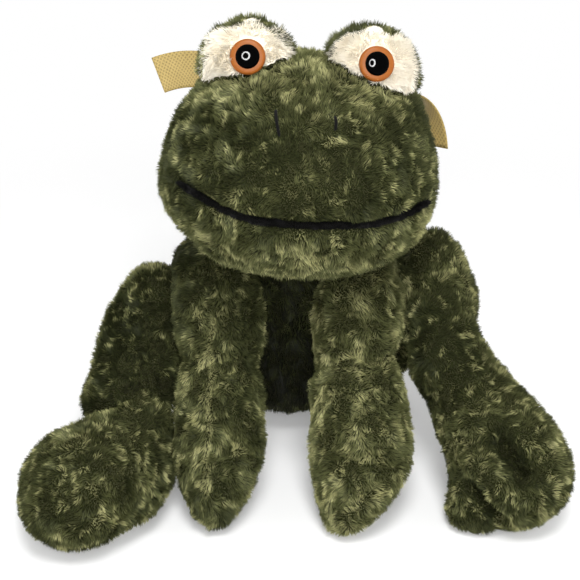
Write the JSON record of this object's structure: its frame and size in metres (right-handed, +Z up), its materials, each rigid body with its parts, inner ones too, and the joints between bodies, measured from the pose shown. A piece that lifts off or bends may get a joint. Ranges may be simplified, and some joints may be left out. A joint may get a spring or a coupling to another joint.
{
  "type": "plush frog",
  "caption": "Seated fleece toy frog with raised eye mounds, stitched smile, long jointed limbs and a neck ribbon.",
  "frame": {"origin": "lowest point of the rump, on the surface that the toy sits on", "axes": "+Z up, -Y where the toy faces, +X towards the toy's left hand"},
  "size_m": [0.3802, 0.2952, 0.3401],
  "materials": {
    "green_fleece": "olive long-pile fleece",
    "cream_fleece": "cream short-pile fleece",
    "stuffing": "polyester fibre filling",
    "pellet_cloth": "plain cloth bag of pellets",
    "amber_plastic": "polished amber-brown",
    "black_plastic": "polished black",
    "washer_plastic": "natural white",
    "thread": "charcoal yarn stitching",
    "ribbon": "sheer gold-tan woven ribbon"
  },
  "bodies": {
    "torso": {"torso_skin": "green_fleece", "torso_stuffing": "stuffing", "pellet_bag": "pellet_cloth", "ribbon_collar": "ribbon", "ribbon_knot": "ribbon", "right_ribbon_tail": "ribbon", "left_ribbon_tail": "ribbon"},
    "head": {"head_skin": "green_fleece", "head_stuffing": "stuffing", "mouth_line": "thread", "right_nostril": "thread", "left_nostril": "thread", "right_eye_mound": "green_fleece", "right_eye_patch": "cream_fleece", "right_eye_washer": "washer_plastic", "right_eye_iris": "amber_plastic", "right_eye_pupil": "black_plastic", "left_eye_mound": "green_fleece", "left_eye_patch": "cream_fleece", "left_eye_washer": "washer_plastic", "left_eye_iris": "amber_plastic", "left_eye_pupil": "black_plastic"},
    "right_upper_arm": {"right_upper_arm_skin": "green_fleece", "right_upper_arm_stuffing": "stuffing"},
    "right_forearm": {"right_forearm_skin": "green_fleece", "right_forearm_stuffing": "stuffing"},
    "right_thigh": {"right_thigh_skin": "green_fleece", "right_thigh_stuffing": "stuffing"},
    "right_shin": {"right_shin_skin": "green_fleece", "right_shin_stuffing": "stuffing"},
    "right_foot": {"right_foot_skin": "green_fleece", "right_foot_stuffing": "stuffing"},
    "left_upper_arm": {"left_upper_arm_skin": "green_fleece", "left_upper_arm_stuffing": "stuffing"},
    "left_forearm": {"left_forearm_skin": "green_fleece", "left_forearm_stuffing": "stuffing"},
    "left_thigh": {"left_thigh_skin": "green_fleece", "left_thigh_stuffing": "stuffing"},
    "left_shin": {"left_shin_skin": "green_fleece", "left_shin_stuffing": "stuffing"},
    "left_foot": {"left_foot_skin": "green_fleece", "left_foot_stuffing": "stuffing"}
  },
  "joints": [
    {"name": "neck", "type": "hinge", "parent": "torso", "child": "head", "pos_m": [0, -0.04046, 0.20353], "axis": [1, 0, 0], "range_deg": [-12, 6]},
    {"name": "right_shoulder", "type": "hinge", "parent": "torso", "child": "right_upper_arm", "pos_m": [-0.048, -0.06244, 0.14275], "axis": [-1, 0, 0], "range_deg": [0, 25]},
    {"name": "right_elbow", "type": "hinge", "parent": "right_upper_arm", "child": "right_forearm", "pos_m": [-0.0493, -0.10143, 0.09076], "axis": [-1, 0, 0], "range_deg": [0, 20]},
    {"name": "right_hip", "type": "hinge", "parent": "torso", "child": "right_thigh", "pos_m": [-0.068, 0.00629, 0.05061], "axis": [0, 0, -1], "range_deg": [0, 20]},
    {"name": "right_knee", "type": "hinge", "parent": "right_thigh", "child": "right_shin", "pos_m": [-0.10007, -0.04305, 0.10818], "axis": [-0.9077, 0.3785, -0.1812], "range_deg": [0, 35]},
    {"name": "right_ankle", "type": "hinge", "parent": "right_shin", "child": "right_foot", "pos_m": [-0.11787, -0.10571, 0.0664], "axis": [-0.8, 0.6, 0], "range_deg": [-8, 12]},
    {"name": "left_shoulder", "type": "hinge", "parent": "torso", "child": "left_upper_arm", "pos_m": [0.048, -0.06244, 0.14275], "axis": [-1, 0, 0], "range_deg": [0, 25]},
    {"name": "left_elbow", "type": "hinge", "parent": "left_upper_arm", "child": "left_forearm", "pos_m": [0.04541, -0.10325, 0.09223], "axis": [-1, 0, 0], "range_deg": [0, 20]},
    {"name": "left_hip", "type": "hinge", "parent": "torso", "child": "left_thigh", "pos_m": [0.068, 0.00629, 0.05061], "axis": [0, 0, 1], "range_deg": [0, 20]},
    {"name": "left_knee", "type": "hinge", "parent": "left_thigh", "child": "left_shin", "pos_m": [0.10287, -0.04452, 0.12932], "axis": [-0.9168, -0.3593, 0.1742], "range_deg": [0, 35]},
    {"name": "left_ankle", "type": "hinge", "parent": "left_shin", "child": "left_foot", "pos_m": [0.11466, -0.0943, 0.08871], "axis": [-0.8944, -0.4472, 0], "range_deg": [-8, 12]}
  ]
}
